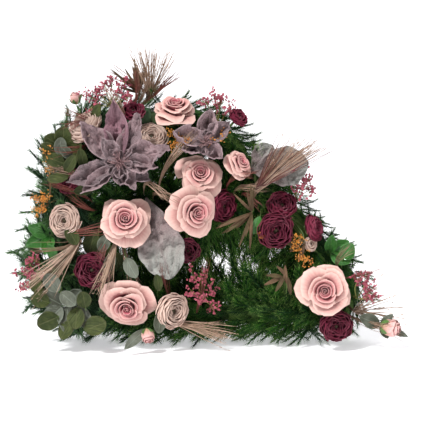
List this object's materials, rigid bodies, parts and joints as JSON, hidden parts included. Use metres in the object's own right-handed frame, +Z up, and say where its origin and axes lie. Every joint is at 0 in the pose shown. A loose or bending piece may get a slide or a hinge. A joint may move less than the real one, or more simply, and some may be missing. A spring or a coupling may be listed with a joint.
{
  "type": "heart-shaped funeral wreath",
  "caption": "Open heart wreath of artificial fir with silk roses, ranunculus, felt magnolias, straw and berries, standing on one straight side.",
  "frame": {"origin": "middle of the bounding box in plan, on the surface the heart stands on", "axes": "+X to the right along the straight side it stands on, towards the heart's point; -Y the dressed front; +Z up"},
  "size_m": [0.722, 0.2082, 0.547],
  "materials": {
    "core_green": "matte",
    "fir_green": "matte",
    "rose_pink": "matte",
    "petal_cream": "matte",
    "petal_plum": "matte",
    "bud_pink": "matte",
    "felt_mauve": "matte",
    "felt_grey": "matte",
    "leaf_grey": "matte",
    "leaf_green": "satin",
    "leaf_brown": "matte",
    "straw_gold": "matte",
    "filler_pink": "matte",
    "berry_yellow": "satin"
  },
  "bodies": {
    "root": {"rose_left": "rose_pink", "rose_centre": "rose_pink", "rose_centre_high": "rose_pink", "rose_low_left": "rose_pink", "rose_low_right": "rose_pink", "rose_top": "rose_pink", "rose_slope": "rose_pink", "ranunculus_cream_left": "petal_cream", "ranunculus_cream_low": "petal_cream", "ranunculus_cream_high": "petal_cream", "ranunculus_cream_top": "petal_cream", "ranunculus_cream_small": "petal_cream", "ranunculus_plum_left": "petal_plum", "ranunculus_plum_slope": "petal_plum", "ranunculus_plum_slope_high": "petal_plum", "ranunculus_plum_low": "petal_plum", "ranunculus_plum_centre": "petal_plum", "ranunculus_plum_outer": "petal_plum", "ranunculus_plum_floor": "petal_plum", "ranunculus_plum_left_high": "petal_plum", "ranunculus_plum_top_left": "petal_plum", "ranunculus_plum_top": "petal_plum", "bud_high": "bud_pink", "bud_low": "bud_pink", "bud_tip": "bud_pink", "magnolia_left": "felt_mauve", "magnolia_centre": "felt_mauve", "felt_leaf_hanging": "felt_grey", "felt_leaf_slope": "felt_grey", "leaves_green_left": "leaf_green", "leaves_green_slope": "leaf_green", "eucalyptus_low": "leaf_grey", "eucalyptus_high": "leaf_grey", "leaves_brown_top": "leaf_brown", "leaves_brown_slope": "leaf_brown", "berries_left": "berry_yellow", "berries_top": "berry_yellow", "berries_slope": "berry_yellow", "filler_high": "filler_pink", "filler_top": "filler_pink", "filler_slope": "filler_pink", "filler_low": "filler_pink", "filler_left": "filler_pink", "filler_tip": "filler_pink", "straw_top": "straw_gold", "straw_left": "straw_gold", "straw_hanging": "straw_gold", "straw_slope": "straw_gold", "straw_low": "straw_gold", "straw_tip": "straw_gold", "heart_core": "core_green", "fir_base_right": "fir_green", "fir_base_left": "fir_green", "fir_low_lobe": "fir_green", "fir_notch": "fir_green", "fir_high_lobe": "fir_green", "fir_top": "fir_green", "fir_slope_high": "fir_green", "fir_slope_low": "fir_green", "fir_bridge": "fir_green"}
  },
  "joints": []
}
